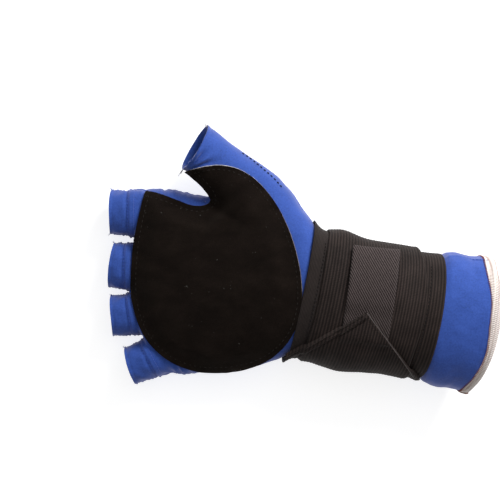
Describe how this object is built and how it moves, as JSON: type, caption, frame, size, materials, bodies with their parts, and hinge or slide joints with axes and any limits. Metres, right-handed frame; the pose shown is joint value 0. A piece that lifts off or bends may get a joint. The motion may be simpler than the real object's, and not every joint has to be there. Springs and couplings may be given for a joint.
{
  "type": "half-finger work glove",
  "caption": "Right-hand glove with open fingertips, a padded suede palm, a ribbed elastic wrist wrap closed by a hook tab, and a flared cuff.",
  "frame": {"origin": "on the flat back of the hand, under the middle of the palm, where the glove rests", "axes": "+X up the forearm from the fingertips, +Y towards the thumb, +Z out of the palm"},
  "size_m": [0.2154, 0.1462, 0.0554],
  "materials": {
    "liner": "matt stretch knit",
    "suede": "napped, matt",
    "pad": "matt",
    "elastic": "ribbed, matt",
    "webbing": "twill weave",
    "hook": "rough hook tape",
    "hem": "knitted, matt"
  },
  "bodies": {
    "hand": {"palm_liner": "liner", "back_liner": "liner", "index_middle_web": "liner", "middle_ring_web": "liner", "ring_little_web": "liner", "suede_palm": "suede", "palm_pad": "pad", "wrist_elastic": "elastic", "edge_binding": "webbing", "second_turn": "elastic", "strap_back": "elastic", "cuff_liner": "liner", "cuff_hem": "hem"},
    "index": {"index_sleeve": "liner"},
    "middle": {"middle_sleeve": "liner"},
    "ring": {"ring_sleeve": "liner"},
    "little": {"little_sleeve": "liner"},
    "thumb": {"thumb_sleeve": "liner", "suede_thumb": "suede"},
    "strap": {"strap_end": "elastic", "tab_root": "webbing"},
    "tab": {"hook_tab": "webbing", "hook_tape": "hook"}
  },
  "joints": [
    {"name": "index_flex", "type": "hinge", "parent": "hand", "child": "index", "pos_m": [-0.0465, 0.037, 0.0263], "axis": [0, 1, 0], "range_deg": [0, 80]},
    {"name": "middle_flex", "type": "hinge", "parent": "hand", "child": "middle", "pos_m": [-0.0485, 0.0073, 0.0263], "axis": [0, 1, 0], "range_deg": [0, 80]},
    {"name": "ring_flex", "type": "hinge", "parent": "hand", "child": "ring", "pos_m": [-0.0462, -0.01893, 0.0263], "axis": [-0.1736, 0.9848, 0], "range_deg": [0, 80]},
    {"name": "little_flex", "type": "hinge", "parent": "hand", "child": "little", "pos_m": [-0.03578, -0.04329, 0.0263], "axis": [-0.454, 0.891, 0], "range_deg": [0, 80]},
    {"name": "thumb_flex", "type": "hinge", "parent": "hand", "child": "thumb", "pos_m": [0.01188, 0.05194, 0.03829], "axis": [0.7501, 0.6613, 0], "range_deg": [0, 50]},
    {"name": "strap_fold", "type": "hinge", "parent": "hand", "child": "strap", "pos_m": [0.0766, -0.05166, 0.027], "axis": [0.984, -0.1783, 0], "range_deg": [0, 90]},
    {"name": "tab_peel", "type": "hinge", "parent": "strap", "child": "tab", "pos_m": [0.083, -0.0122, 0.0549], "axis": [0.9893, -0.139, 0.0441], "range_deg": [0, 100]}
  ]
}
